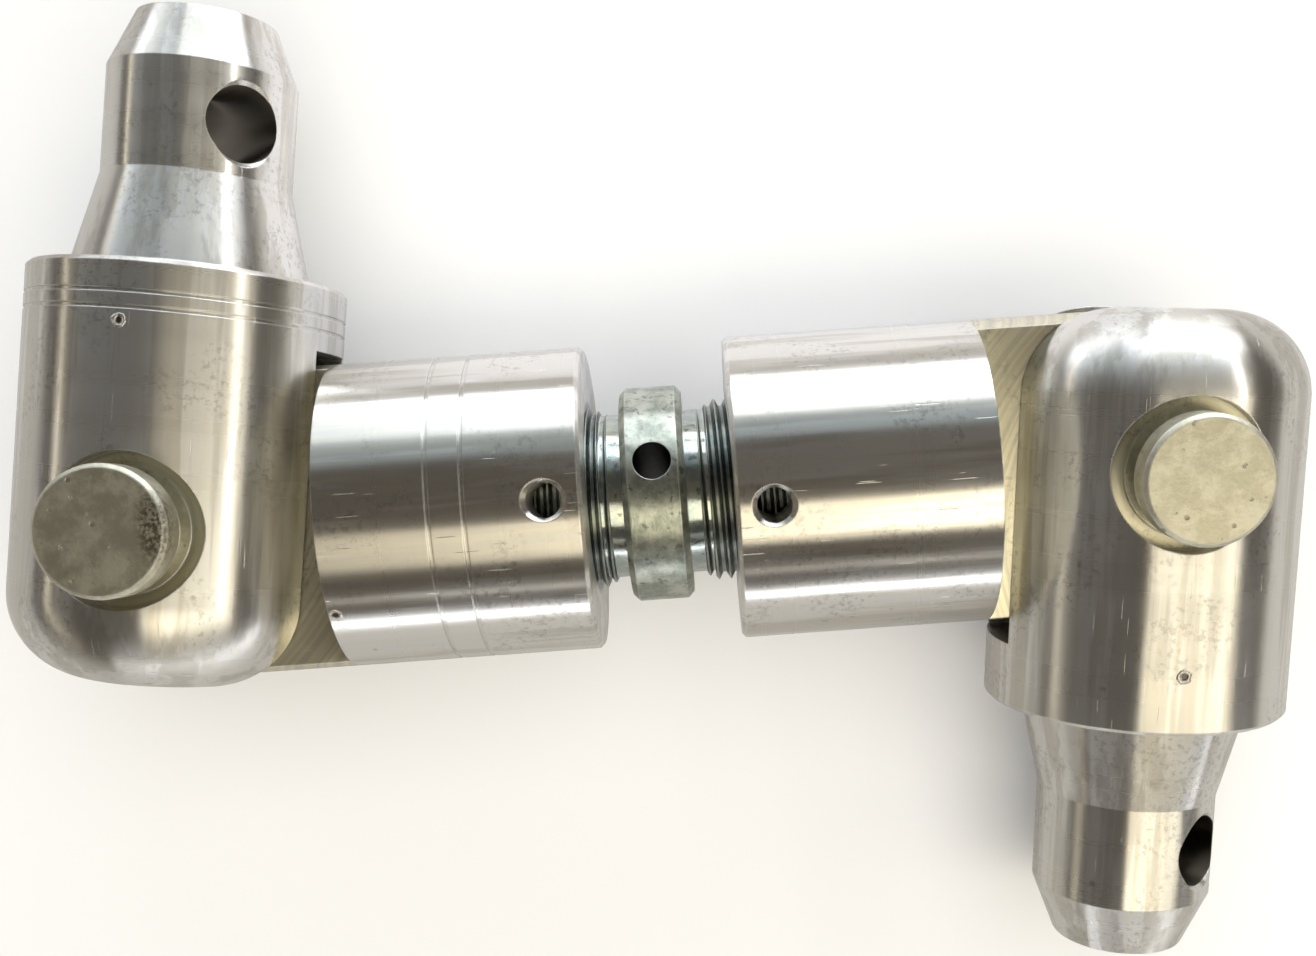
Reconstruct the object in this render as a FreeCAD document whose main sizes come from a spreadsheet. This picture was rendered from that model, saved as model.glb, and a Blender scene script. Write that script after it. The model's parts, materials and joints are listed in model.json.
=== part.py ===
import FreeCAD, Part
import math
import os
import Sketcher

# Adjustable angle coupling: two forks with conical spigots, hinged by pins
# to two bar ends, which a left-hand and right-hand threaded spindle joins.
# X runs along the spindle, Z along the left hinge pin.

os.makedirs("parts", exist_ok=True)
doc = FreeCAD.newDocument("AngleCoupling")

# All sizes are in millimetres and degrees.
SIZES = [
    ("body_diameter", 50.0),
    ("edge_break", 0.6),
    ("fork_end_distance", 25.0),
    ("fork_end_radius", 14.0),
    ("fork_shoulder_distance", 41.0),
    ("slot_width", 16.8),
    ("slot_end_distance", 30.3),
    ("spigot_base_diameter", 37.4),
    ("spigot_foot_flare", 0.8),
    ("spigot_diameter", 30.0),
    ("spigot_cone_length", 15.7),
    ("spigot_straight_length", 17.2),
    ("spigot_tip_length", 9.2),
    ("spigot_tip_diameter", 22.2),
    ("cross_hole_diameter", 12.0),
    ("cross_hole_distance", 24.0),
    ("cross_hole_chamfer", 0.8),
    ("cross_hole_turn", 45.0),
    ("spot_face_diameter", 24.2),
    ("spot_face_depth", 3.6),
    ("fork_mark_first", 5.0),
    ("fork_mark_spacing", 2.45),
    ("tongue_mark_first", 18.0),
    ("tongue_mark_spacing", 5.4),
    ("mark_width", 0.6),
    ("mark_depth", 0.3),
    ("pin_diameter", 20.0),
    ("pin_neck_diameter", 16.0),
    ("pin_head_thickness", 5.2),
    ("pin_length", 64.2),
    ("pin_chamfer", 0.6),
    ("hinge_clearance", 0.05),
    ("tongue_thickness", 16.4),
    ("tongue_shoulder_distance", 29.1),
    ("tongue_length", 69.7),
    ("nose_offset", 2.0),
    ("thread_diameter", 30.0),
    ("thread_clearance", 0.05),
    ("bore_depth", 36.0),
    ("bore_mouth_chamfer", 1.0),
    ("drill_point_length", 6.0),
    ("sight_hole_diameter", 5.4),
    ("sight_hole_mouth_diameter", 7.0),
    ("sight_hole_distance", 5.9),
    ("collar_diameter", 35.4),
    ("collar_width", 10.0),
    ("collar_chamfer", 1.0),
    ("neck_diameter", 27.0),
    ("neck_length", 3.8),
    ("spindle_length", 80.0),
    ("spindle_end_chamfer", 1.2),
    ("tommy_hole_diameter", 6.0),
    ("tommy_hole_turn", 16.8),
    ("left_gap", 10.55),
    ("right_gap", 12.45),
    ("left_fold", 98.3),
    ("right_fold", 95.1),
    ("right_roll", 7.6),
]

sheet = doc.addObject("Spreadsheet::Sheet", "Sizes")
for row, (name, value) in enumerate(SIZES, start=1):
    sheet.set("A%d" % row, name.replace("_", " "))
    sheet.set("B%d" % row, str(value))
    sheet.setAlias("B%d" % row, name)
doc.recompute()


# A size is a number with the words that bind it to the sheet.
class Size:
    def __init__(self, number, words):
        self.number = number
        self.words = words

    def __add__(self, other):
        other = as_size(other)
        return Size(self.number + other.number, "(%s + %s)" % (self.words, other.words))

    def __sub__(self, other):
        other = as_size(other)
        return Size(self.number - other.number, "(%s - %s)" % (self.words, other.words))

    def __mul__(self, factor):
        return Size(self.number * factor, "%s * %s" % (self.words, factor))

    def __truediv__(self, divisor):
        return Size(self.number / divisor, "%s / %s" % (self.words, divisor))

    def __neg__(self):
        return Size(-self.number, "(-1 * %s)" % self.words)


def as_size(value):
    if isinstance(value, Size):
        return value
    return Size(float(value), str(float(value)))


size = {name: Size(value, "Sizes." + name) for name, value in SIZES}
number = dict(SIZES)

body_radius = size["body_diameter"] / 2
edge_break = size["edge_break"]
spot_face_distance = body_radius - size["spot_face_depth"]
ZERO = as_size(0)
MARGIN = 2.0
OVERLAP = 1.0
MAIN_CUT = 0.01
FINE_CUT = 0.0001


def new_body(name):
    body = doc.addObject("PartDesign::Body", name)
    body.Label = name
    return body


def origin_item(body, role):
    for item in body.Origin.OriginFeatures:
        if item.Role == role:
            return item
    raise ValueError(role)


def new_sketch(body, name, role):
    sketch = body.newObject("Sketcher::SketchObject", name)
    sketch.AttachmentSupport = [(origin_item(body, role), "")]
    sketch.MapMode = "FlatFace"
    return sketch


# One coordinate of a vertex is fixed from the sketch's origin.
def fix_coordinate(sketch, curve, end, along, value):
    if value.number == 0:
        sketch.addConstraint(Sketcher.Constraint("PointOnObject", curve, end, -2 if along == "X" else -1))
        return
    if value.number > 0:
        rule = Sketcher.Constraint("Distance" + along, -1, 1, curve, end, value.number)
        index = sketch.addConstraint(rule)
        sketch.setExpression("Constraints[%d]" % index, value.words)
    else:
        rule = Sketcher.Constraint("Distance" + along, curve, end, -1, 1, -value.number)
        index = sketch.addConstraint(rule)
        sketch.setExpression("Constraints[%d]" % index, (-value).words)


def central_arc(corner):
    return len(corner) == 5 and corner[3].number == 0 and corner[4].number == 0


# A closed outline: each corner is (x, y), or (x, y, radius, centre x, centre y)
# where a counter-clockwise arc leaves that corner. An arc about the sketch's
# own origin ends on the X axis at both ends.
def draw_outline(sketch, corners):
    count = len(corners)
    curves = []
    for place, corner in enumerate(corners):
        following = corners[(place + 1) % count]
        start = FreeCAD.Vector(corner[0].number, corner[1].number, 0)
        end = FreeCAD.Vector(following[0].number, following[1].number, 0)
        if len(corner) == 2:
            curves.append(sketch.addGeometry(Part.LineSegment(start, end), False))
            continue
        centre = FreeCAD.Vector(corner[3].number, corner[4].number, 0)
        circle = Part.Circle(centre, FreeCAD.Vector(0, 0, 1), corner[2].number)
        first = math.atan2(start.y - centre.y, start.x - centre.x)
        last = math.atan2(end.y - centre.y, end.x - centre.x)
        if last <= first:
            last = last + 2 * math.pi
        curves.append(sketch.addGeometry(Part.ArcOfCircle(circle, first, last), False))
    for place in range(count):
        following = curves[(place + 1) % count]
        sketch.addConstraint(Sketcher.Constraint("Coincident", curves[place], 2, following, 1))
    for place, corner in enumerate(corners):
        before = corners[place - 1]
        if not (central_arc(corner) or central_arc(before)):
            fix_coordinate(sketch, curves[place], 1, "X", corner[0])
        fix_coordinate(sketch, curves[place], 1, "Y", corner[1])
        if central_arc(corner):
            sketch.addConstraint(Sketcher.Constraint("Coincident", curves[place], 3, -1, 1))
        if len(corner) == 5:
            index = sketch.addConstraint(Sketcher.Constraint("Radius", curves[place], corner[2].number))
            sketch.setExpression("Constraints[%d]" % index, corner[2].words)


def draw_circle(sketch, x, y, radius):
    centre = FreeCAD.Vector(x.number, y.number, 0)
    curve = sketch.addGeometry(Part.Circle(centre, FreeCAD.Vector(0, 0, 1), radius.number), False)
    index = sketch.addConstraint(Sketcher.Constraint("Radius", curve, radius.number))
    sketch.setExpression("Constraints[%d]" % index, radius.words)
    fix_coordinate(sketch, curve, 3, "X", x)
    fix_coordinate(sketch, curve, 3, "Y", y)


def turn(body, name, sketch, axis, cut=False):
    kind = "PartDesign::Groove" if cut else "PartDesign::Revolution"
    feature = body.newObject(kind, name)
    feature.Profile = sketch
    feature.ReferenceAxis = (sketch, [axis])
    feature.Angle = 360.0
    sketch.Visibility = False
    return feature


# A cut right through, to both sides of the sketch.
def cut_through(body, name, sketch):
    feature = body.newObject("PartDesign::Pocket", name)
    feature.Profile = sketch
    feature.Type = 1
    feature.Midplane = True
    sketch.Visibility = False
    return feature


# A cut from the sketch outwards, along the sketch's own normal.
def cut_outwards(body, name, sketch):
    feature = body.newObject("PartDesign::Pocket", name)
    feature.Profile = sketch
    feature.Type = 1
    feature.Reversed = True
    sketch.Visibility = False
    return feature


cut_checks = []


# Each cut has to take away more than a stated share of its body.
def removed(body, feature, share):
    doc.recompute()
    before = feature.BaseFeature.Shape.Volume
    after = feature.Shape.Volume
    cut_checks.append((feature.Name, before - after, share * before))


# Fork: turned about Z, slot and hinge bore across it, pin along Y.
def make_fork(name, hole_side, marked):
    body = new_body(name)
    shoulder = size["fork_shoulder_distance"]
    end = size["fork_end_distance"]
    corner = size["fork_end_radius"]
    foot = size["spigot_foot_flare"]
    cone_top = shoulder + size["spigot_cone_length"]
    straight_top = cone_top + size["spigot_straight_length"]
    tip = straight_top + size["spigot_tip_length"]

    outline = new_sketch(body, name + "_outline", "XZ_Plane")
    draw_outline(outline, [
        (ZERO, -end),
        (body_radius - corner, -end, corner, body_radius - corner, corner - end),
        (body_radius, corner - end),
        (body_radius, shoulder - edge_break),
        (body_radius - edge_break, shoulder),
        (size["spigot_base_diameter"] / 2 + foot, shoulder),
        (size["spigot_base_diameter"] / 2, shoulder + foot),
        (size["spigot_diameter"] / 2, cone_top),
        (size["spigot_diameter"] / 2, straight_top),
        (size["spigot_tip_diameter"] / 2, tip),
        (ZERO, tip),
    ])
    turn(body, name + "_turned", outline, "V_Axis")

    slot = new_sketch(body, name + "_slot_outline", "YZ_Plane")
    half_slot = size["slot_width"] / 2
    draw_outline(slot, [
        (-half_slot, -(end + MARGIN)),
        (half_slot, -(end + MARGIN)),
        (half_slot, size["slot_end_distance"]),
        (-half_slot, size["slot_end_distance"]),
    ])
    removed(body, cut_through(body, name + "_slot", slot), MAIN_CUT)

    bore = new_sketch(body, name + "_pin_bore_outline", "XZ_Plane")
    draw_circle(bore, ZERO, ZERO, size["pin_diameter"] / 2)
    removed(body, cut_through(body, name + "_pin_bore", bore), MAIN_CUT)

    spot = new_sketch(body, name + "_spot_face_outline", "XZ_Plane")
    spot.AttachmentOffset = FreeCAD.Placement(
        FreeCAD.Vector(0, 0, spot_face_distance.number), FreeCAD.Rotation())
    spot.setExpression("AttachmentOffset.Base.z", spot_face_distance.words)
    draw_circle(spot, ZERO, ZERO, size["spot_face_diameter"] / 2)
    spot_face = cut_outwards(body, name + "_spot_face", spot)
    removed(body, spot_face, FINE_CUT)

    mirrored = body.newObject("PartDesign::Mirrored", name + "_spot_face_back")
    mirrored.Originals = [spot_face]
    mirrored.MirrorPlane = (origin_item(body, "XZ_Plane"), [""])
    body.Tip = mirrored
    removed(body, mirrored, FINE_CUT)

    # The cross hole is turned about its own axis, with a chamfer at each mouth.
    hole = new_sketch(body, name + "_cross_hole_outline", "XZ_Plane")
    hole_turn = FreeCAD.Rotation(FreeCAD.Vector(0, hole_side, 0), number["cross_hole_turn"])
    hole.AttachmentOffset = FreeCAD.Placement(FreeCAD.Vector(0, 0, 0), hole_turn)
    hole.setExpression("AttachmentOffset.Rotation.Angle", "Sizes.cross_hole_turn")
    height = shoulder + size["cross_hole_distance"]
    radius = size["cross_hole_diameter"] / 2
    chamfer = size["cross_hole_chamfer"]
    spigot_radius = size["spigot_diameter"] / 2
    mouth = spigot_radius - chamfer
    beyond = spigot_radius + MARGIN
    wide = height + radius + chamfer + MARGIN
    draw_outline(hole, [
        (-beyond, height),
        (beyond, height),
        (beyond, wide),
        (mouth, height + radius),
        (-mouth, height + radius),
        (-beyond, wide),
    ])
    removed(body, turn(body, name + "_cross_hole", hole, "Edge1", cut=True), MAIN_CUT)

    if marked:
        marks = new_sketch(body, name + "_marks_outline", "XZ_Plane")
        top = shoulder - size["fork_mark_first"]
        draw_marks(marks, top, size["fork_mark_spacing"])
        removed(body, turn(body, name + "_marks", marks, "V_Axis", cut=True), FINE_CUT)
    return body


# Two fine turned grooves, the second one spacing below the first.
def draw_marks(sketch, first, spacing):
    floor = body_radius - size["mark_depth"]
    half = size["mark_width"] / 2
    for middle in (first, first - spacing):
        draw_outline(sketch, [
            (floor, middle - half),
            (body_radius + MARGIN, middle - half),
            (body_radius + MARGIN, middle + half),
            (floor, middle + half),
        ])


# Bar end: turned about Z, tongue round the hinge pin along Y, threaded bore.
def make_tongue(name, marked):
    body = new_body(name)
    length = size["tongue_length"]
    outline = new_sketch(body, name + "_outline", "XZ_Plane")
    draw_outline(outline, [
        (ZERO, -(body_radius + MARGIN / 2)),
        (body_radius, -(body_radius + MARGIN / 2)),
        (body_radius, length - edge_break),
        (body_radius - edge_break, length),
        (ZERO, length),
    ])
    turn(body, name + "_turned", outline, "V_Axis")

    half = size["tongue_thickness"] / 2
    shoulder = size["tongue_shoulder_distance"]
    beyond = body_radius + MARGIN
    for side, label in ((1, "front"), (-1, "back")):
        flat = new_sketch(body, name + "_%s_flat_outline" % label, "YZ_Plane")
        near = half if side == 1 else -half
        far = beyond if side == 1 else -beyond
        draw_outline(flat, [(near, -beyond), (far, -beyond), (far, shoulder), (near, shoulder)])
        removed(body, cut_through(body, name + "_%s_flat" % label, flat), MAIN_CUT)

    # The nose arc is centred just behind the pin, so its tip stays inside the fork.
    nose = new_sketch(body, name + "_nose_outline", "XZ_Plane")
    nose.AttachmentOffset = FreeCAD.Placement(
        FreeCAD.Vector(0, number["nose_offset"], 0), FreeCAD.Rotation())
    nose.setExpression("AttachmentOffset.Base.y", "Sizes.nose_offset")
    below = beyond + size["nose_offset"]
    draw_outline(nose, [
        (-body_radius, ZERO, body_radius, ZERO, ZERO),
        (body_radius, ZERO),
        (beyond, ZERO),
        (beyond, -below),
        (-beyond, -below),
        (-beyond, ZERO),
    ])
    removed(body, cut_through(body, name + "_nose", nose), FINE_CUT)

    hinge = new_sketch(body, name + "_hinge_bore_outline", "XZ_Plane")
    draw_circle(hinge, ZERO, ZERO, size["pin_diameter"] / 2 + size["hinge_clearance"])
    removed(body, cut_through(body, name + "_hinge_bore", hinge), MAIN_CUT)

    bore = new_sketch(body, name + "_bore_outline", "XZ_Plane")
    radius = size["thread_diameter"] / 2 + size["thread_clearance"]
    bottom = length - size["bore_depth"]
    mouth = radius + size["bore_mouth_chamfer"]
    draw_outline(bore, [
        (ZERO, bottom - size["drill_point_length"]),
        (radius, bottom),
        (radius, length - size["bore_mouth_chamfer"]),
        (mouth, length),
        (ZERO, length),
    ])
    removed(body, turn(body, name + "_bore", bore, "V_Axis", cut=True), MAIN_CUT)

    # The sight hole runs from the bore out through the front, and widens at its mouth.
    sight = new_sketch(body, name + "_sight_hole_outline", "YZ_Plane")
    middle = length - size["sight_hole_distance"]
    sight_radius = size["sight_hole_diameter"] / 2
    mouth_radius = size["sight_hole_mouth_diameter"] / 2
    widening = mouth_radius - sight_radius
    draw_outline(sight, [
        (radius - OVERLAP, middle),
        (beyond, middle),
        (beyond, middle + mouth_radius),
        (body_radius, middle + mouth_radius),
        (body_radius - widening, middle + sight_radius),
        (radius - OVERLAP, middle + sight_radius),
    ])
    removed(body, turn(body, name + "_sight_hole", sight, "Edge1", cut=True), FINE_CUT)

    if marked:
        marks = new_sketch(body, name + "_marks_outline", "XZ_Plane")
        draw_marks(marks, length - size["tongue_mark_first"], size["tongue_mark_spacing"])
        removed(body, turn(body, name + "_marks", marks, "V_Axis", cut=True), FINE_CUT)
    return body


# Spindle: turned about X, collar in the middle with a hole for a tommy bar.
def make_spindle(name):
    body = new_body(name)
    half_collar = size["collar_width"] / 2
    collar = size["collar_diameter"] / 2
    chamfer = size["collar_chamfer"]
    neck = size["neck_diameter"] / 2
    neck_end = half_collar + size["neck_length"]
    thread = size["thread_diameter"] / 2
    end = size["spindle_length"] / 2
    end_chamfer = size["spindle_end_chamfer"]
    outline = new_sketch(body, name + "_outline", "XZ_Plane")
    right_side = [
        (end, ZERO),
        (end, thread - end_chamfer),
        (end - end_chamfer, thread),
        (neck_end, thread),
        (neck_end, neck),
        (half_collar, neck),
        (half_collar, collar - chamfer),
        (half_collar - chamfer, collar),
    ]
    left_side = [(-x, y) for x, y in reversed(right_side)]
    draw_outline(outline, right_side + left_side)
    turn(body, name + "_turned", outline, "H_Axis")

    # One tommy hole, drilled right through the collar.
    hole = new_sketch(body, name + "_tommy_hole_outline", "XY_Plane")
    hole_turn = FreeCAD.Rotation(FreeCAD.Vector(-1, 0, 0), number["tommy_hole_turn"])
    hole.AttachmentOffset = FreeCAD.Placement(FreeCAD.Vector(0, 0, 0), hole_turn)
    hole.setExpression("AttachmentOffset.Rotation.Angle", "Sizes.tommy_hole_turn")
    draw_circle(hole, ZERO, ZERO, size["tommy_hole_diameter"] / 2)
    removed(body, cut_through(body, name + "_tommy_hole", hole), FINE_CUT)
    return body


# Hinge pin: turned about Z, a neck under each proud end.
def make_pin(name):
    body = new_body(name)
    radius = size["pin_diameter"] / 2
    neck = size["pin_neck_diameter"] / 2
    end = size["pin_length"] / 2
    chamfer = size["pin_chamfer"]
    under = end - size["pin_head_thickness"]
    face = spot_face_distance
    outline = new_sketch(body, name + "_outline", "XZ_Plane")
    upper = [
        (radius, face),
        (neck, face),
        (neck, under),
        (radius, under),
        (radius, end - chamfer),
        (radius - chamfer, end),
        (ZERO, end),
    ]
    lower = [(x, -y) for x, y in reversed(upper)]
    draw_outline(outline, lower + upper)
    turn(body, name + "_turned", outline, "V_Axis")
    return body


fork_left = make_fork("fork_left", -1, True)
fork_right = make_fork("fork_right", 1, False)
tongue_left = make_tongue("tongue_left", True)
tongue_right = make_tongue("tongue_right", False)
spindle = make_spindle("adjusting_spindle")
pin_left = make_pin("hinge_pin_left")
pin_right = make_pin("hinge_pin_right")
doc.recompute()

# Rest pose: both forks folded, the right half rolled about the spindle.
AXIS_X = FreeCAD.Vector(1, 0, 0)
AXIS_Z = FreeCAD.Vector(0, 0, 1)
left_pin = -(number["left_gap"] + number["tongue_length"])
right_pin = number["right_gap"] + number["tongue_length"]
roll = FreeCAD.Rotation(AXIS_X, number["right_roll"])
along_x = FreeCAD.Rotation(FreeCAD.Vector(1, 1, 1), 120)
half_turn = FreeCAD.Rotation(AXIS_Z, 180)
left_hinge = FreeCAD.Rotation(AXIS_Z, 90 - number["left_fold"])
right_hinge = FreeCAD.Rotation(AXIS_Z, 90 - number["right_fold"])
spigot_up = FreeCAD.Rotation(AXIS_X, -90)
spigot_down = FreeCAD.Rotation(AXIS_X, 90)
level = FreeCAD.Rotation()
POSES = [
    (fork_left, left_pin, left_hinge.multiply(spigot_up)),
    (pin_left, left_pin, level),
    (tongue_left, left_pin, along_x),
    (spindle, 0.0, level),
    (tongue_right, right_pin, roll.multiply(half_turn).multiply(along_x)),
    (pin_right, right_pin, roll),
    (fork_right, right_pin, roll.multiply(right_hinge).multiply(spigot_down)),
]
for body, x, rotation in POSES:
    body.Placement = FreeCAD.Placement(FreeCAD.Vector(x, 0, 0), rotation)
doc.recompute()

# The origin is the middle of the part's base.
box = FreeCAD.BoundBox()
for body, x, rotation in POSES:
    box.add(body.Shape.optimalBoundingBox(False, False))
shift = FreeCAD.Vector(-(box.XMin + box.XMax) / 2, -(box.YMin + box.YMax) / 2, -box.ZMin)
for body, x, rotation in POSES:
    body.Placement = FreeCAD.Placement(FreeCAD.Vector(x, 0, 0) + shift, rotation)
doc.recompute()

problems = []
for item in doc.Objects:
    if "Invalid" in item.State or "Error" in item.State:
        problems.append("%s is %s" % (item.Name, item.State))
for feature, volume, least in cut_checks:
    if volume < least:
        problems.append("%s removes only %.1f" % (feature, volume))
for body, x, rotation in POSES:
    shape = body.Shape
    if shape.isNull() or not shape.isValid() or len(shape.Solids) != 1:
        problems.append("%s is not one valid solid" % body.Label)
if problems:
    raise ValueError("; ".join(problems))

for body, x, rotation in POSES:
    body.Shape.exportStep("parts/%s.step" % body.Label)
    print("%s volume %.1f" % (body.Label, body.Shape.Volume))
print("size %.2f %.2f %.2f" % (box.XLength, box.YLength, box.ZLength))
print("shift %.4f %.4f %.4f" % (shift.x, shift.y, shift.z))
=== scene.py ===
import json
import math
import bmesh
import bpy
from mathutils import Matrix, Vector


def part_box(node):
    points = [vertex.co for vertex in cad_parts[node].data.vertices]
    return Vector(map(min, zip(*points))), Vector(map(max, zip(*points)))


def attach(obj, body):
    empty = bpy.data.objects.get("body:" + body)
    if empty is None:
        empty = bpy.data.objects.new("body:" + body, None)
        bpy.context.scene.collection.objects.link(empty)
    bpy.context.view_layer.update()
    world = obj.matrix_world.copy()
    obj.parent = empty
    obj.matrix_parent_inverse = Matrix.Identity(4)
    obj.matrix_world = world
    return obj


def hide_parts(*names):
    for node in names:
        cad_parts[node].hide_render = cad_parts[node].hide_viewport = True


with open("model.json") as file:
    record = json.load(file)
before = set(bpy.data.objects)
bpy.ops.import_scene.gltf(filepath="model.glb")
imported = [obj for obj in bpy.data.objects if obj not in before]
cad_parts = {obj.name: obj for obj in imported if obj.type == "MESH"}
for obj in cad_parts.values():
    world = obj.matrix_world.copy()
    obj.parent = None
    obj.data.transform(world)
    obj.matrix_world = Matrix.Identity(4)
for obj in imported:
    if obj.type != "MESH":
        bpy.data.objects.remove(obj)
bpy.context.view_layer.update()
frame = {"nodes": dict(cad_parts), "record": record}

nodes = frame["nodes"]
record = frame["record"]


def middleOf(node):
    low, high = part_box(node)
    return (low + high) / 2


def mountNamed(name):
    return next(mount for mount in record["mounts"] if mount["name"] == name)


def axesAlong(axis, pin):
    # local frame of a turned piece: Z along its axis, Y along its hinge pin
    z = axis.normalized()
    y = (pin - pin.dot(z) * z).normalized()
    return Matrix((y.cross(z), y, z)).transposed()


spindleCentre = middleOf("adjusting_spindle")
rightRoll = math.radians(7.6)   # the right half is rolled about the spindle
pinUp = Vector((0.0, 0.0, 1.0))
pinUpRight = Vector((0.0, -math.sin(rightRoll), math.cos(rightRoll)))
leftPin = middleOf("hinge_pin_left")
rightPin = middleOf("hinge_pin_right")
leftSpigot = Vector(mountNamed("spigot_left")["axis"])
rightSpigot = Vector(mountNamed("spigot_right")["axis"])

# each turned piece: its hinge point, its own axis and the pin through it
places = {
    "fork_left": (leftPin, leftSpigot, pinUp),
    "fork_right": (rightPin, rightSpigot, pinUpRight),
    "tongue_left": (leftPin, Vector((1.0, 0.0, 0.0)), pinUp),
    "tongue_right": (rightPin, Vector((-1.0, 0.0, 0.0)), pinUpRight),
    "hinge_pin_left": (leftPin, pinUp, Vector((1.0, 0.0, 0.0))),
    "hinge_pin_right": (rightPin, pinUpRight, Vector((1.0, 0.0, 0.0))),
    "adjusting_spindle": (spindleCentre, Vector((1.0, 0.0, 0.0)), pinUp),
}


class Tree:
    # short calls for making and joining shader nodes
    def __init__(self, tree):
        self.nodes = tree.nodes
        self.links = tree.links

    def feed(self, value, socket):
        if isinstance(value, bpy.types.NodeSocket):
            self.links.new(value, socket)
        elif value is not None:
            socket.default_value = value

    def add(self, kind, output=0, settings=None, **inputs):
        node = self.nodes.new(kind)
        for name, value in (settings or {}).items():
            setattr(node, name, value)
        for name, value in inputs.items():
            self.feed(value, node.inputs[name.replace("_", " ")])
        return node.outputs[output]

    def math(self, operation, *values):
        node = self.nodes.new("ShaderNodeMath")
        node.operation = operation
        for place, value in enumerate(values):
            self.feed(value, node.inputs[place])
        return node.outputs[0]

    def vector(self, operation, *values, output=0):
        node = self.nodes.new("ShaderNodeVectorMath")
        node.operation = operation
        for place, value in enumerate(values):
            self.feed(value, node.inputs[place])
        return node.outputs[output]

    def ramp(self, value, low, high):
        # 0 below low, 1 above high, smooth between
        node = self.nodes.new("ShaderNodeMapRange")
        node.interpolation_type = "SMOOTHSTEP"
        self.feed(value, node.inputs["Value"])
        self.feed(low, node.inputs["From Min"])
        self.feed(high, node.inputs["From Max"])
        return node.outputs["Result"]

    def mixColour(self, factor, first, second):
        node = self.nodes.new("ShaderNodeMix")
        node.data_type = "RGBA"
        self.feed(factor, node.inputs["Factor"])
        self.feed(first, node.inputs[6])
        self.feed(second, node.inputs[7])
        return node.outputs[2]

    def mix(self, factor, first, second):
        node = self.nodes.new("ShaderNodeMix")
        self.feed(factor, node.inputs["Factor"])
        self.feed(first, node.inputs[2])
        self.feed(second, node.inputs[3])
        return node.outputs[0]

    def split(self, vector):
        node = self.nodes.new("ShaderNodeSeparateXYZ")
        self.feed(vector, node.inputs[0])
        return node.outputs

    def join(self, x, y, z):
        node = self.nodes.new("ShaderNodeCombineXYZ")
        for place, value in enumerate((x, y, z)):
            self.feed(value, node.inputs[place])
        return node.outputs[0]

    def noise(self, vector, scale, detail=3.0, roughness=0.55):
        return self.add("ShaderNodeTexNoise", Vector=vector, Scale=scale, Detail=detail, Roughness=roughness)

    def place(self, name, output, **inputs):
        # one of the shared effects, with this material's own values
        node = self.nodes.new("ShaderNodeGroup")
        node.node_tree = bpy.data.node_groups[name]
        for socket, value in inputs.items():
            self.feed(value, node.inputs[socket.replace("_", " ")])
        return node.outputs if output is None else node.outputs[output]


def newGroup(name, inputs, outputs):
    group = bpy.data.node_groups.new(name, "ShaderNodeTree")
    for title, kind, value in inputs:
        socket = group.interface.new_socket(title, in_out="INPUT", socket_type=kind)
        if value is not None:
            socket.default_value = value
    for title, kind in outputs:
        group.interface.new_socket(title, in_out="OUTPUT", socket_type=kind)
    return Tree(group), group.nodes.new("NodeGroupInput").outputs, group.nodes.new("NodeGroupOutput").inputs


# how fine and how dense the shared marks are: counts per metre unless a note says otherwise
marksLook = {
    "lines": 1300.0,
    "bands": 160.0,
    "waves": 90.0,
    "waveHeight": 0.0004,       # metres
    "streaks": 210.0,
    "streakDrift": 0.06,        # how slowly a streak changes along the bar
    "scratches": ((0.5, 2600.0), (1.7, 2100.0), (2.7, 3000.0)),   # turn in radians, count
    "scratchStretch": 0.035,
    "nicks": 190.0,
    "nickPatches": 55.0,
    "specks": 950.0,
    "speckPatches": 75.0,
}


def buildTurningMarks():
    # fine rings round Z left by the lathe, in bands of uneven feed
    t, given, out = newGroup("turningMarks",
                             [("Vector", "NodeSocketVector", None),
                              ("Lines", "NodeSocketFloat", marksLook["lines"]),
                              ("Seed", "NodeSocketFloat", 0.0)],
                             [("Height", "NodeSocketFloat"), ("Band", "NodeSocketFloat")])
    wobble = t.math("MULTIPLY", t.noise(given["Vector"], marksLook["waves"]), marksLook["waveHeight"])
    along = t.math("ADD", t.split(given["Vector"])["Z"], wobble)
    fine = t.noise(t.join(0.0, given["Seed"], t.math("MULTIPLY", along, given["Lines"])), 1.0, 1.0)
    band = t.noise(t.join(given["Seed"], 3.0, t.math("MULTIPLY", along, marksLook["bands"])), 1.0, 3.0, 0.6)
    t.feed(t.math("MULTIPLY", fine, t.math("ADD", 0.4, band)), out["Height"])
    t.feed(band, out["Band"])


def buildAxialStreaksAndPaintedReflections():
    # long soft streaks that run along Z and change round the bar; partly real streaks on the metal, partly
    # painted reflection: Streak mixes in a painted dark band, Fine a painted khaki reflection
    t, given, out = newGroup("axialStreaksAndPaintedReflections",
                             [("Vector", "NodeSocketVector", None),
                              ("Scale", "NodeSocketFloat", marksLook["streaks"]),
                              ("Seed", "NodeSocketFloat", 0.0)],
                             [("Streak", "NodeSocketFloat"), ("Fine", "NodeSocketFloat")])
    x, y, z = t.split(given["Vector"])
    drift = t.math("MULTIPLY", z, marksLook["streakDrift"])
    slow = t.math("ADD", drift, t.math("MULTIPLY", given["Seed"], 0.1))
    flat = t.join(x, y, slow)
    wide = t.noise(flat, given["Scale"], 4.0, 0.6)
    fine = t.noise(flat, t.math("MULTIPLY", given["Scale"], 5.0), 2.0, 0.5)
    t.feed(t.ramp(wide, 0.45, 0.56), out["Streak"])
    t.feed(t.ramp(fine, 0.35, 0.65), out["Fine"])


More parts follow.
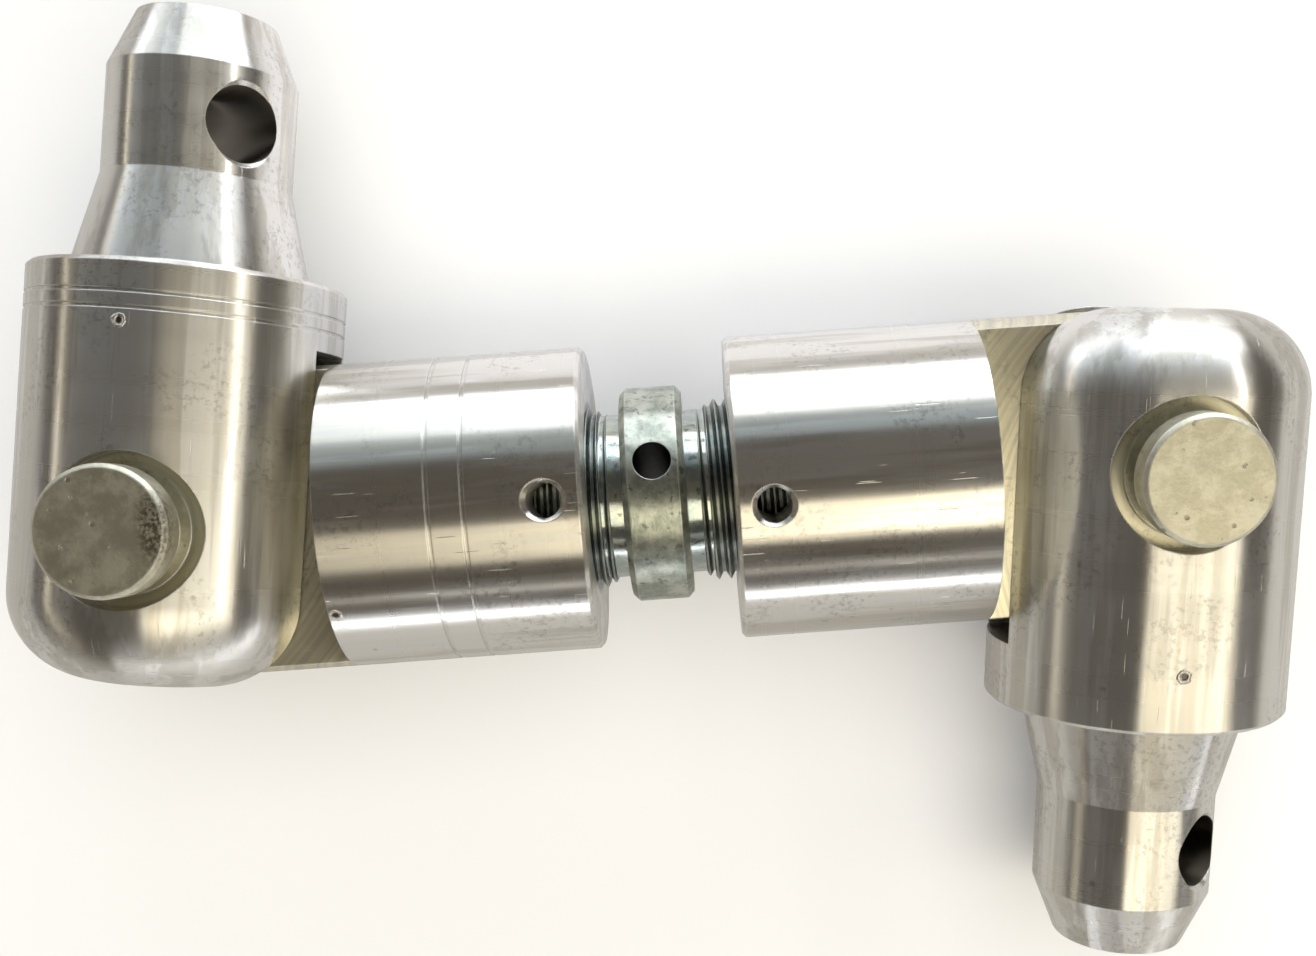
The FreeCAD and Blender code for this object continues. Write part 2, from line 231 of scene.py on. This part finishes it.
def buildHandling():
    # short fine scratches, small nicks and patches of grime
    t, given, out = newGroup("handlingMarks",
                             [("Vector", "NodeSocketVector", None), ("Seed", "NodeSocketFloat", 0.0)],
                             [("Scratch", "NodeSocketFloat"), ("Nick", "NodeSocketFloat"),
                              ("Grime", "NodeSocketFloat")])
    moved = t.vector("ADD", given["Vector"], t.join(given["Seed"], given["Seed"], 0.0))
    scratch = None
    for turn, fine in marksLook["scratches"]:
        long = fine * marksLook["scratchStretch"]
        lean = t.add("ShaderNodeMapping", Vector=moved, Rotation=(turn, turn * 0.6, turn * 1.4),
                     Scale=(fine, long, long))
        line = t.ramp(t.noise(lean, 1.0, 1.0), 0.755, 0.80)
        scratch = line if scratch is None else t.math("MAXIMUM", scratch, line)
    dot = t.add("ShaderNodeTexVoronoi", "Distance", {"feature": "F1"}, Vector=moved,
                Scale=marksLook["nicks"])
    nick = t.math("MULTIPLY", t.math("SUBTRACT", 1.0, t.ramp(dot, 0.05, 0.14)),
                  t.ramp(t.noise(moved, marksLook["nickPatches"], 1.0), 0.6, 0.64))
    speck = t.ramp(t.noise(moved, marksLook["specks"], 4.0, 0.7), 0.50, 0.64)
    patch = t.ramp(t.noise(moved, marksLook["speckPatches"], 2.0), 0.46, 0.60)
    t.feed(scratch, out["Scratch"])
    t.feed(t.math("MULTIPLY", speck, patch), out["Grime"])
    t.feed(nick, out["Nick"])


def buildEdgeRoundingAndPaintedGlint():
    # soft rounding of the normal where two faces meet, and a mask for a painted bright highlight along that
    # edge
    t, given, out = newGroup("edgeRoundingAndPaintedGlint", [("Radius", "NodeSocketFloat", 0.0003)],
                             [("Edge", "NodeSocketFloat"), ("Normal", "NodeSocketVector")])
    soft = t.add("ShaderNodeBevel", settings={"samples": 4}, Radius=given["Radius"])
    true = t.add("ShaderNodeNewGeometry", "Normal")
    t.feed(t.ramp(t.vector("DOT_PRODUCT", soft, true, output=1), 0.995, 0.9), out["Edge"])
    t.feed(soft, out["Normal"])


def buildHoleShade():
    # 1 on the wall of a round hole that runs along Axis through Centre; the mask where shade is painted into
    # the hole
    t, given, out = newGroup("holeShade",
                             [("Vector", "NodeSocketVector", None), ("Centre", "NodeSocketVector", None),
                              ("Axis", "NodeSocketVector", None), ("Radius", "NodeSocketFloat", 0.006)],
                             [("Wall", "NodeSocketFloat")])
    away = t.vector("SUBTRACT", given["Vector"], given["Centre"])
    across = t.vector("LENGTH", t.vector("CROSS_PRODUCT", away, given["Axis"]), output=1)
    t.feed(t.math("LESS_THAN", across, t.math("MULTIPLY", given["Radius"], 1.012)), out["Wall"])


def holeWall(t, name):
    # the hole's place and axis come from the frame's mounts
    mount = mountNamed(name)
    return t.place("holeShade", "Wall", Vector=t.add("ShaderNodeTexCoord", "Object"), Centre=mount["pos_m"],
                   Axis=mount["axis"], Radius=mount["dims"]["r_mm"] / 1000)


def buildMillSwirls():
    # overlapping arcs that a face mill leaves on a flat
    t, given, out = newGroup("millSwirls",
                             [("Vector", "NodeSocketVector", None), ("Centre", "NodeSocketVector", None),
                              ("Pitch", "NodeSocketFloat", 900.0)],
                             [("Height", "NodeSocketFloat"), ("Tone", "NodeSocketFloat")])
    away = t.vector("SUBTRACT", given["Vector"], given["Centre"])
    distance = t.vector("LENGTH", away, output=1)
    uneven = t.math("ADD", distance, t.math("MULTIPLY", t.noise(given["Vector"], 60.0), 0.0012))
    ring = t.noise(t.join(t.math("MULTIPLY", uneven, given["Pitch"]), 0.0, 0.0), 1.0, 2.0, 0.6)
    t.feed(ring, out["Height"])
    t.feed(t.ramp(ring, 0.38, 0.62), out["Tone"])


def buildPunchMark():
    # a small dent with a raised lip
    t, given, out = newGroup("punchMark",
                             [("Vector", "NodeSocketVector", None), ("Centre", "NodeSocketVector", None),
                              ("Radius", "NodeSocketFloat", 0.0007)],
                             [("Dent", "NodeSocketFloat"), ("Lip", "NodeSocketFloat")])
    away = t.vector("LENGTH", t.vector("SUBTRACT", given["Vector"], given["Centre"]), output=1)
    ragged = t.math("ADD", 0.6, t.math("MULTIPLY", t.noise(given["Vector"], 1500.0), 0.9))
    ratio = t.math("MULTIPLY", t.math("DIVIDE", away, given["Radius"]), ragged)
    t.feed(t.math("SUBTRACT", 1.0, t.ramp(ratio, 0.5, 1.1)), out["Dent"])
    lip = t.math("MULTIPLY", t.ramp(ratio, 0.8, 1.2), t.math("SUBTRACT", 1.0, t.ramp(ratio, 1.3, 1.8)))
    t.feed(lip, out["Lip"])


def newMaterial(name):
    material = bpy.data.materials.new(name)
    material.use_nodes = True
    tree = material.node_tree
    tree.nodes.clear()
    shader = tree.nodes.new("ShaderNodeBsdfPrincipled")
    output = tree.nodes.new("ShaderNodeOutputMaterial")
    tree.links.new(shader.outputs[0], output.inputs["Surface"])
    return material, Tree(tree), shader


def localPlace(t, node):
    # the piece's own coordinates in metres, Z along its axis
    centre, axis, pin = places[node]
    turned = axesAlong(axis, pin).to_euler()
    where = t.add("ShaderNodeTexCoord", "Object")
    return t.add("ShaderNodeMapping", settings={"vector_type": "TEXTURE"}, Vector=where,
                 Location=tuple(centre), Rotation=tuple(turned))


def grooveTangent(t, node):
    # highlights spread across the turning grooves, so they run along the bar
    centre, axis, pin = places[node]
    where = t.add("ShaderNodeTexCoord", "Object")
    away = t.vector("SUBTRACT", where, tuple(centre))
    groove = t.vector("CROSS_PRODUCT", tuple(axis), away)
    spaces = {"vector_type": "VECTOR", "convert_from": "OBJECT", "convert_to": "WORLD"}
    turned = t.add("ShaderNodeVectorTransform", settings=spaces, Vector=groove)
    return t.vector("CROSS_PRODUCT", t.add("ShaderNodeNewGeometry", "Normal"), turned)


turnedLook = {
    "bright": (0.86, 0.855, 0.84, 1.0),
    # next two colours: a dark tone used for mill swirls and for painted dark reflection bands, then a painted
    # khaki reflection
    "swirlToneAndPaintedDarkBand": (0.50, 0.47, 0.42, 1.0),
    "paintedKhakiReflection": (0.82, 0.78, 0.64, 1.0),
    "milled": (0.90, 0.86, 0.66, 1.0),
    "grime": (0.36, 0.35, 0.33, 1.0),
    # painted shade colour for the walls of the cross holes
    "paintedBoreShade": (0.20, 0.18, 0.15, 1.0),
    "scratch": (0.95, 0.95, 0.95, 1.0),
    "nick": (0.30, 0.27, 0.22, 1.0),
    # painted highlight colour along edges
    "edge": (0.97, 0.97, 0.96, 1.0),
    # painted shade colour inside punch dents
    "dent": (0.16, 0.13, 0.10, 1.0),
    "roughness": 0.23,
    "bandRoughness": 0.10,
    "milledRoughness": 0.38,
    "boredRoughness": 0.45,
    "anisotropy": 0.92,
    "streakShare": 0.55,
    "paintedKhakiReflectionShare": 0.25,
    "swirlShare": 0.5,
    "scratchShare": 0.3,
    "nickShare": 0.5,
    "grimeShare": 0.45,
    "paintedEdgeGlintShare": 0.7,
    "ringHeight": 0.30,
    "scratchDepth": 0.8,
    "dentDepth": 9.0,
    "bumpStrength": 0.35,
    "bumpDistance": 0.00006,
}

# where the milled faces lie in a piece's own coordinates, metres
milledFaces = {
    "tongueHalf": 0.00835,           # the tongue's flats end short of this
    "tongueShoulder": 0.0293,
    "tongueSwirl": (0.011, 0.0, -0.012),
    "spotRadius": 0.01225,
    "spotFloor": 0.02165,
    "spotSwirl": (0.0, 0.0, 0.0),
}


def buildAluminium(node, seed, punch=None):
    look = turnedLook
    faces = milledFaces
    material, t, shader = newMaterial(node + "Aluminium")
    here = localPlace(t, node)
    x, y, z = t.split(here)
    marks = t.place("turningMarks", None, Vector=here, Seed=seed)
    streaks = t.place("axialStreaksAndPaintedReflections", None, Vector=here, Seed=seed)
    wear = t.place("handlingMarks", None, Vector=here, Seed=seed * 0.01)
    edge = t.place("edgeRoundingAndPaintedGlint", None)
    # painted reflection: the streak masks mix dark bands and khaki bands into the base colour
    paintedDarkBand = t.math("MULTIPLY", streaks["Streak"], look["streakShare"])
    colour = t.mixColour(paintedDarkBand, look["bright"], look["swirlToneAndPaintedDarkBand"])
    colour = t.mixColour(t.math("MULTIPLY", streaks["Fine"], look["paintedKhakiReflectionShare"]), colour, look["paintedKhakiReflection"])
    roughness = t.math("ADD", look["roughness"], t.math("MULTIPLY", marks["Band"], look["bandRoughness"]))
    height = t.math("MULTIPLY", marks["Height"], look["ringHeight"])

    if node.startswith("tongue"):
        inside = t.math("MULTIPLY", t.math("LESS_THAN", t.math("ABSOLUTE", y), faces["tongueHalf"]),
                        t.math("LESS_THAN", z, faces["tongueShoulder"]))
        centre = faces["tongueSwirl"]
    else:
        spot = t.vector("LENGTH", t.join(x, 0.0, z), output=1)
        inside = t.math("MULTIPLY", t.math("LESS_THAN", spot, faces["spotRadius"]),
                        t.math("LESS_THAN", t.math("ABSOLUTE", y), faces["spotFloor"]))
        centre = faces["spotSwirl"]
    flat = t.vector("MULTIPLY", here, (1.0, 0.0, 1.0))
    swirl = t.place("millSwirls", None, Vector=flat, Centre=centre)
    milled = t.mixColour(t.math("MULTIPLY", swirl["Tone"], look["swirlShare"]), look["milled"], look["swirlToneAndPaintedDarkBand"])
    colour = t.mixColour(inside, colour, milled)
    height = t.mix(inside, height, swirl["Height"])
    roughness = t.mix(inside, roughness, look["milledRoughness"])

    # the last layer paints a bright highlight along edges; scratches, nicks and grime are marks on the metal
    layers = ((wear["Scratch"], "scratchShare", "scratch"), (wear["Nick"], "nickShare", "nick"),
              (wear["Grime"], "grimeShare", "grime"), (edge["Edge"], "paintedEdgeGlintShare", "edge"))
    for mark, share, tone in layers:
        colour = t.mixColour(t.math("MULTIPLY", mark, look[share]), colour, look[tone])
    cuts = t.math("MAXIMUM", wear["Scratch"], wear["Nick"])
    height = t.math("SUBTRACT", height, t.math("MULTIPLY", cuts, look["scratchDepth"]))
    if node.startswith("fork"):
        # painted shade: the cross hole's wall is darkened in colour
        wall = holeWall(t, node.replace("fork", "spigot_cross_hole"))
        colour = t.mixColour(wall, colour, look["paintedBoreShade"])
        roughness = t.mix(wall, roughness, look["boredRoughness"])
    if punch:
        dent = t.place("punchMark", None, Vector=here, Centre=punch)
        relief = t.math("SUBTRACT", dent["Lip"], dent["Dent"])
        height = t.math("ADD", height, t.math("MULTIPLY", relief, look["dentDepth"]))
        # painted shade: the dent is darkened in colour
        colour = t.mixColour(dent["Dent"], colour, look["dent"])
    bump = t.add("ShaderNodeBump", Strength=look["bumpStrength"], Distance=look["bumpDistance"],
                 Height=height, Normal=edge["Normal"])
    t.feed(colour, shader.inputs["Base Color"])
    t.feed(roughness, shader.inputs["Roughness"])
    t.feed(bump, shader.inputs["Normal"])
    t.feed(grooveTangent(t, node), shader.inputs["Tangent"])
    shader.inputs["Metallic"].default_value = 1.0
    shader.inputs["Anisotropic"].default_value = look["anisotropy"]
    nodes[node].data.materials.clear()
    nodes[node].data.materials.append(material)


pinLook = {
    "face": (0.56, 0.54, 0.43, 1.0),
    "pale": (0.74, 0.72, 0.60, 1.0),
    "darkPatch": (0.20, 0.18, 0.13, 1.0),
    # painted highlight colour round the pin's rim
    "rim": (0.95, 0.95, 0.92, 1.0),
    "rimWidth": 0.0005,
    "paintedRimGlintShare": 0.8,
    "pitShare": 0.6,
    "pitsPerMetre": 420.0,
    "darkPatchStretch": (0.42, 1.0, 0.5),
    "darkPatchFrom": 0.001,
    "darkPatchTo": 0.0032,
    "roughness": 0.36,
    "cloudRoughness": 0.2,
    "bumpStrength": 0.5,
    "bumpDistance": 0.00012,
}


def buildPinSteel(node, seed, darkPatchCentre):
    look = pinLook
    material, t, shader = newMaterial(node + "Steel")
    here = localPlace(t, node)
    moved = t.vector("ADD", here, (seed, seed * 0.5, 0.0))
    cloud = t.noise(moved, 260.0, 6.0, 0.7)
    grain = t.noise(moved, 1500.0, 3.0, 0.6)
    pit = t.add("ShaderNodeTexVoronoi", "Distance", {"feature": "F1"}, Vector=moved,
                Scale=look["pitsPerMetre"])
    pits = t.math("MULTIPLY", t.math("SUBTRACT", 1.0, t.ramp(pit, 0.10, 0.24)), t.ramp(cloud, 0.50, 0.56))
    # a darker grainy patch near the right side of the head
    away = t.vector("MULTIPLY", t.vector("SUBTRACT", here, darkPatchCentre), look["darkPatchStretch"])
    far = t.ramp(t.vector("LENGTH", away, output=1), look["darkPatchFrom"], look["darkPatchTo"])
    darkPatch = t.math("MULTIPLY", t.math("SUBTRACT", 1.0, far), t.ramp(grain, 0.38, 0.58))
    edge = t.place("edgeRoundingAndPaintedGlint", None, Radius=look["rimWidth"])
    colour = t.mixColour(t.ramp(cloud, 0.4, 0.65), look["face"], look["pale"])
    dark = t.math("MAXIMUM", t.math("MULTIPLY", pits, look["pitShare"]), darkPatch)
    colour = t.mixColour(dark, colour, look["darkPatch"])
    # painted highlight round the pin's rim
    colour = t.mixColour(t.math("MULTIPLY", edge["Edge"], look["paintedRimGlintShare"]), colour, look["rim"])
    grit = t.math("ADD", t.math("MULTIPLY", cloud, 0.8), t.math("MULTIPLY", grain, 0.5))
    height = t.math("SUBTRACT", grit, pits)
    bump = t.add("ShaderNodeBump", Strength=look["bumpStrength"], Distance=look["bumpDistance"],
                 Height=height, Normal=edge["Normal"])
    t.feed(colour, shader.inputs["Base Color"])
    t.feed(t.math("ADD", look["roughness"], t.math("MULTIPLY", cloud, look["cloudRoughness"])),
           shader.inputs["Roughness"])
    t.feed(bump, shader.inputs["Normal"])
    shader.inputs["Metallic"].default_value = 1.0
    nodes[node].data.materials.clear()
    nodes[node].data.materials.append(material)


zincLook = {
    "zinc": (0.31, 0.34, 0.30, 1.0),
    "pale": (0.56, 0.59, 0.52, 1.0),
    "darkPatch": (0.14, 0.14, 0.12, 1.0),
    "neck": (0.36, 0.43, 0.44, 1.0),
    # the thread is darker than the neck and collar: painted shade of its grooves
    "thread": (0.13, 0.16, 0.17, 1.0),
    # painted shade colour inside the tommy holes
    "drilled": (0.03, 0.035, 0.035, 1.0),
    # painted highlight colour along edges
    "edge": (0.85, 0.87, 0.85, 1.0),
    "scratchStretch": 0.35,   # below 1 the collar's scratches run longer round its axis
    "lineShare": 0.4,
    "stainShare": 0.6,
    "paintedEdgeGlintShare": 0.6,
    "cloudRoughness": 0.15,
    "cloudHeight": 0.8,
    "bumpStrength": 0.5,
}


def buildZinc(name, base, pale, rough, bumpHeight, scratchAcross):
    look = zincLook
    material, t, shader = newMaterial(name)
    here = localPlace(t, "adjusting_spindle")
    lined = here
    if scratchAcross:
        lined = t.vector("MULTIPLY", here, (look["scratchStretch"], look["scratchStretch"], 1.0))
    lines = t.noise(lined, 1400.0, 4.0, 0.65)
    cloud = t.noise(here, 240.0, 5.0, 0.65)
    spot = t.ramp(t.noise(here, 620.0, 2.0), 0.60, 0.68)
    edge = t.place("edgeRoundingAndPaintedGlint", None)
    colour = t.mixColour(t.ramp(cloud, 0.38, 0.62), base, pale)
    colour = t.mixColour(t.math("MULTIPLY", t.ramp(lines, 0.45, 0.7), look["lineShare"]), colour, pale)
    colour = t.mixColour(t.math("MULTIPLY", spot, look["stainShare"]), colour, look["darkPatch"])
    # painted highlight along edges
    colour = t.mixColour(t.math("MULTIPLY", edge["Edge"], look["paintedEdgeGlintShare"]), colour, look["edge"])
    # painted shade: the tommy holes' walls are nearly black
    colour = t.mixColour(holeWall(t, "tommy_hole"), colour, look["drilled"])
    height = t.math("ADD", lines, t.math("MULTIPLY", cloud, look["cloudHeight"]))
    bump = t.add("ShaderNodeBump", Strength=look["bumpStrength"], Distance=bumpHeight,
                 Height=height, Normal=edge["Normal"])
    t.feed(colour, shader.inputs["Base Color"])
    t.feed(t.math("ADD", rough, t.math("MULTIPLY", cloud, look["cloudRoughness"])),
           shader.inputs["Roughness"])
    t.feed(bump, shader.inputs["Normal"])
    shader.inputs["Metallic"].default_value = 1.0
    return material


spindleSizes = {
    "pitch": 0.002,
    "crest": 0.015,
    "root": 0.01385,
    "rootEdge": 0.12,      # shares of one pitch, the same from both sides
    "crestEdge": 0.44,
    "neckEnd": 0.0088,
    "runOut": 0.0074,
    "runOutShrink": 0.955,
    "halfCollar": 0.005,
    "halfLength": 0.040,
    "stepsPerTurn": 72,
    "overlap": 0.00002,
    "sharpFrom": 25.0,     # degrees between faces
}


def threadMesh(side, start, end, shrink=1.0):
    # one thread profile, swept in a helix; the left side mirrors the right one
    s = spindleSizes
    pitch = s["pitch"]
    steps = s["stepsPerTurn"]
    profile = [(0.0, s["root"]), (s["rootEdge"], s["root"]), (s["crestEdge"], s["crest"]),
               (1.0 - s["crestEdge"], s["crest"]), (1.0 - s["rootEdge"], s["root"]), (1.0, s["root"])]
    turns = math.ceil((end - start) / pitch) + 2
    bm = bmesh.new()
    points = [bm.verts.new((start - 1.5 * pitch + along * pitch, 0.0, radius)) for along, radius in profile]
    edges = [bm.edges.new(pair) for pair in zip(points, points[1:])]
    bmesh.ops.spin(bm, geom=points + edges, cent=(0, 0, 0), axis=(1, 0, 0), dvec=(pitch / steps, 0, 0),
                   angle=2 * math.pi * turns, steps=turns * steps, use_merge=False)
    bmesh.ops.remove_doubles(bm, verts=bm.verts, dist=0.000004)
    for cut, outward in ((start, -1.0), (end, 1.0)):
        everything = bm.verts[:] + bm.edges[:] + bm.faces[:]
        bmesh.ops.bisect_plane(bm, geom=everything, plane_co=(cut, 0, 0), plane_no=(outward, 0, 0),
                               clear_outer=True, dist=0.000001)
        rim = [e for e in bm.edges if e.is_boundary and all(abs(v.co.x - cut) < 0.00001 for v in e.verts)]
        bmesh.ops.edgeloop_fill(bm, edges=rim)
    bmesh.ops.scale(bm, vec=(side, shrink, shrink), verts=bm.verts)
    bmesh.ops.recalc_face_normals(bm, faces=bm.faces)
    return bm


def buildSpindle():
    s = spindleSizes
    bm = bmesh.new()
    bm.from_mesh(nodes["adjusting_spindle"].data)
    bmesh.ops.remove_doubles(bm, verts=bm.verts, dist=0.000002)
    bmesh.ops.translate(bm, vec=-spindleCentre, verts=bm.verts)
    for side in (1.0, -1.0):
        everything = bm.verts[:] + bm.edges[:] + bm.faces[:]
        bmesh.ops.bisect_plane(bm, geom=everything, plane_co=(side * (s["neckEnd"] - s["overlap"]), 0, 0),
                               plane_no=(side, 0, 0), clear_outer=True, dist=0.0000001)
    for face in bm.faces:
        onCollar = abs(face.calc_center_median().x) < s["halfCollar"] + s["overlap"]
        face.material_index = 0 if onCollar else 1
    joined = bpy.data.meshes.new("spindleMiddle")
    bm.to_mesh(joined)
    bm.free()
    final = bmesh.new()
    final.from_mesh(joined)
    stretches = ((s["neckEnd"], s["halfLength"], 1.0), (s["runOut"], s["neckEnd"], s["runOutShrink"]))
    for side, (start, end, shrink) in [(side, stretch) for side in (1, -1) for stretch in stretches]:
        thread = threadMesh(side, start, end, shrink)
        for face in thread.faces:
            face.material_index = 2
        part = bpy.data.meshes.new("spindleThread")
        thread.to_mesh(part)
        thread.free()
        final.from_mesh(part)
        bpy.data.meshes.remove(part)
    bpy.data.meshes.remove(joined)
    bmesh.ops.translate(final, vec=spindleCentre, verts=final.verts)
    for face in final.faces:
        face.smooth = True
    for edge in final.edges:
        edge.smooth = len(edge.link_faces) == 2 and edge.calc_face_angle(0.0) < math.radians(s["sharpFrom"])
    mesh = bpy.data.meshes.new("threadedSpindle")
    final.to_mesh(mesh)
    final.free()
    piece = bpy.data.objects.new("threadedSpindle", mesh)
    bpy.context.scene.collection.objects.link(piece)
    mesh.materials.append(buildZinc("collarZinc", zincLook["zinc"], zincLook["pale"], 0.26, 0.00010, True))
    mesh.materials.append(buildZinc("neckZinc", zincLook["neck"], zincLook["pale"], 0.10, 0.00002, False))
    # the thread's dark colour is painted shade of its grooves
    mesh.materials.append(buildZinc("threadZincPaintedShade", zincLook["thread"], zincLook["zinc"], 0.24, 0.00003, False))
    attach(piece, "spindle")
    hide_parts("adjusting_spindle")


# soft lamps round the part, square to its two bars; each centre is measured from the spindle
down, north, south, east = (0, 0, -1), (0, 1, 0), (0, -1, 0), (1, 0, 0)
lamps = {
    "warmKey": {"centre": (1.05, -0.70, 1.20), "faces": down, "long": east, "size": (2.45, 0.78),
                "brightness": 2.3, "colour": (1.0, 0.91, 0.70)},
    "eastStrip": {"centre": (1.62, 0.30, 1.20), "faces": down, "long": north, "size": (1.30, 0.26),
                  "brightness": 4.0, "colour": (1.0, 0.97, 0.90)},
    "northWindow": {"centre": (0.75, 1.20, 0.19), "faces": south, "long": east, "size": (1.20, 0.34),
                    "brightness": 6.0, "colour": (0.95, 0.97, 1.0)},
    "northPane": {"centre": (0.60, 1.20, 0.62), "faces": south, "long": east, "size": (1.70, 0.48),
                  "brightness": 2.8, "colour": (0.90, 0.96, 1.0)},
    "northHaze": {"centre": (0.20, 1.20, 1.26), "faces": south, "long": east, "size": (3.20, 0.72),
                  "brightness": 0.34, "colour": (0.74, 0.91, 1.0)},
    "northGlow": {"centre": (-0.65, 1.20, 0.14), "faces": south, "long": east, "size": (1.40, 0.26),
                  "brightness": 3.6, "colour": (0.90, 0.94, 1.0)},
    "westPane": {"centre": (-1.02, 1.20, 0.60), "faces": south, "long": east, "size": (1.50, 0.60),
                 "brightness": 0.55, "colour": (0.76, 0.92, 1.0)},
    "southWindow": {"centre": (0.50, -1.20, 0.03), "faces": north, "long": east, "size": (2.60, 0.11),
                    "brightness": 4.0, "colour": (0.97, 0.98, 1.0)},
    "southStrip": {"centre": (0.20, -1.20, 0.53), "faces": north, "long": east, "size": (2.00, 0.09),
                   "brightness": 0.8, "colour": (1.0, 0.96, 0.88)},
    "westStrip": {"centre": (-1.20, 0.0, 0.30), "faces": east, "long": north, "size": (2.00, 0.07),
                  "brightness": 1.6, "colour": (1.0, 0.92, 0.74)},
}

ceilingLook = {"size": 1.4, "height": 1.0, "brightness": 6.6}
roomColour = (0.105, 0.092, 0.078, 1.0)


def buildLamps():
    for name, lamp in lamps.items():
        data = bpy.data.lights.new(name, "AREA")
        data.shape = "RECTANGLE"
        data.size, data.size_y = lamp["size"]
        data.color = lamp["colour"]
        data.energy = lamp["brightness"] * math.pi * data.size * data.size_y
        back = -Vector(lamp["faces"])
        side = Vector(lamp["long"])
        turn = Matrix((side, back.cross(side), back)).transposed()
        piece = bpy.data.objects.new(name, data)
        piece.matrix_world = Matrix.Translation(spindleCentre + Vector(lamp["centre"])) @ turn.to_4x4()
        bpy.context.scene.collection.objects.link(piece)
    data = bpy.data.lights.new("ceilingSoft", "AREA")
    data.shape = "SQUARE"
    data.size = ceilingLook["size"]
    data.energy = ceilingLook["brightness"] * math.pi * data.size ** 2 / 4
    ceiling = bpy.data.objects.new("ceilingSoft", data)
    ceiling.location = spindleCentre + Vector((0.0, 0.0, ceilingLook["height"]))
    ceiling.visible_glossy = False  # lights the floor only, so the metal keeps its dark bands
    bpy.context.scene.collection.objects.link(ceiling)
    world = bpy.data.worlds.new("room")
    world.use_nodes = True
    world.node_tree.nodes["Background"].inputs["Color"].default_value = roomColour
    bpy.context.scene.world = world


floorLook = {
    "halfSize": 3.0,
    "drop": 0.0003,                      # just under the part, so the two never flicker
    "seen": (0.90, 0.90, 0.90, 1.0),
    # the floor as the metal reflects it: darker painted shade, and a brighter painted pool of light near the
    # centre
    "mirrored": (0.50, 0.49, 0.48, 1.0),
    "mirroredLit": (0.80, 0.79, 0.82, 1.0),
    "litCentre": (0.02, 0.10, 0.0),      # centre of a painted pool of light in the floor's reflection, between the left fork and the spindle
    "litFrom": 0.06,
    "litTo": 0.16,
    "roughness": 0.9,
}


def buildFloor():
    look = floorLook
    bm = bmesh.new()
    bmesh.ops.create_grid(bm, x_segments=1, y_segments=1, size=look["halfSize"])
    mesh = bpy.data.meshes.new("paleFloor")
    bm.to_mesh(mesh)
    bm.free()
    floor = bpy.data.objects.new("paleFloor", mesh)
    floor.location.z = -look["drop"]
    bpy.context.scene.collection.objects.link(floor)
    material, t, shader = newMaterial("paleFloor")
    mirrored = t.add("ShaderNodeLightPath", "Is Glossy Ray")
    here = t.vector("SUBTRACT", t.add("ShaderNodeTexCoord", "Object"), look["litCentre"])
    far = t.ramp(t.vector("LENGTH", here, output=1), look["litFrom"], look["litTo"])
    # painted shade and light in the floor's reflection: darker far off, brighter near the centre
    dimmed = t.mixColour(t.math("SUBTRACT", 1.0, far), look["mirrored"], look["mirroredLit"])
    t.feed(t.mixColour(mirrored, look["seen"], dimmed), shader.inputs["Base Color"])
    shader.inputs["Roughness"].default_value = look["roughness"]
    shader.inputs["Specular IOR Level"].default_value = 0.0
    mesh.materials.append(material)


cameraFit = {
    "turn": (0.030844, 0.012585, 0.071546),   # rotation vector of the view
    "back": (-0.0118667, 0.0087870, -0.2489489),   # spindle centre as the camera sees it, metres
    "focalPixels": 1490.264,
    "imageWidth": 1316.0,
    "imageHeight": 956.0,
    "centreX": 728.669,
    "centreY": 545.937,
    "sensorWidth": 36.0,   # millimetres
    "nearest": 0.01,
    "farthest": 20.0,
}


def buildCamera():
    # the photograph's own eye point, fitted to the turned edges
    c = cameraFit
    turn = Vector(c["turn"])
    view = Matrix.Rotation(turn.length, 3, turn)
    place = -(view.transposed() @ Vector(c["back"])) + spindleCentre
    data = bpy.data.cameras.new("photoCamera")
    data.sensor_fit = "HORIZONTAL"
    data.sensor_width = c["sensorWidth"]
    data.lens = data.sensor_width * c["focalPixels"] / c["imageWidth"]
    data.shift_x = -(c["centreX"] - c["imageWidth"] / 2) / c["imageWidth"]
    data.shift_y = (c["centreY"] - c["imageHeight"] / 2) / c["imageWidth"]
    data.clip_start = c["nearest"]
    data.clip_end = c["farthest"]
    camera = bpy.data.objects.new("photoCamera", data)
    camera.matrix_world = Matrix.Translation(place) @ view.transposed().to_4x4()
    bpy.context.scene.collection.objects.link(camera)
    bpy.context.scene.camera = camera


sharedEffects = (buildTurningMarks, buildAxialStreaksAndPaintedReflections, buildHandling, buildEdgeRoundingAndPaintedGlint, buildHoleShade,
                 buildMillSwirls, buildPunchMark)
for build in sharedEffects:
    build()
print("shared effects ready")
# punch marks and the left pin's dark patch lie in the piece's own coordinates
# the right pin has no dark patch, so its place is off the pin
buildAluminium("fork_left", 1.0, punch=(0.0017, 0.0249, 0.0314))
buildAluminium("fork_right", 2.0, punch=(0.0004, 0.0249, 0.0313))
buildAluminium("tongue_left", 3.0, punch=(-0.0153, 0.0198, 0.03015))
buildAluminium("tongue_right", 4.0)
buildPinSteel("hinge_pin_left", 0.3, darkPatchCentre=(0.0, 0.008, 0.032))
buildPinSteel("hinge_pin_right", 0.7, darkPatchCentre=(0.0, 0.05, 0.0))
print("materials ready")
buildSpindle()
print("spindle ready")
buildFloor()
buildLamps()
buildCamera()
bpy.context.scene.view_settings.view_transform = "Standard"
print("stage ready")
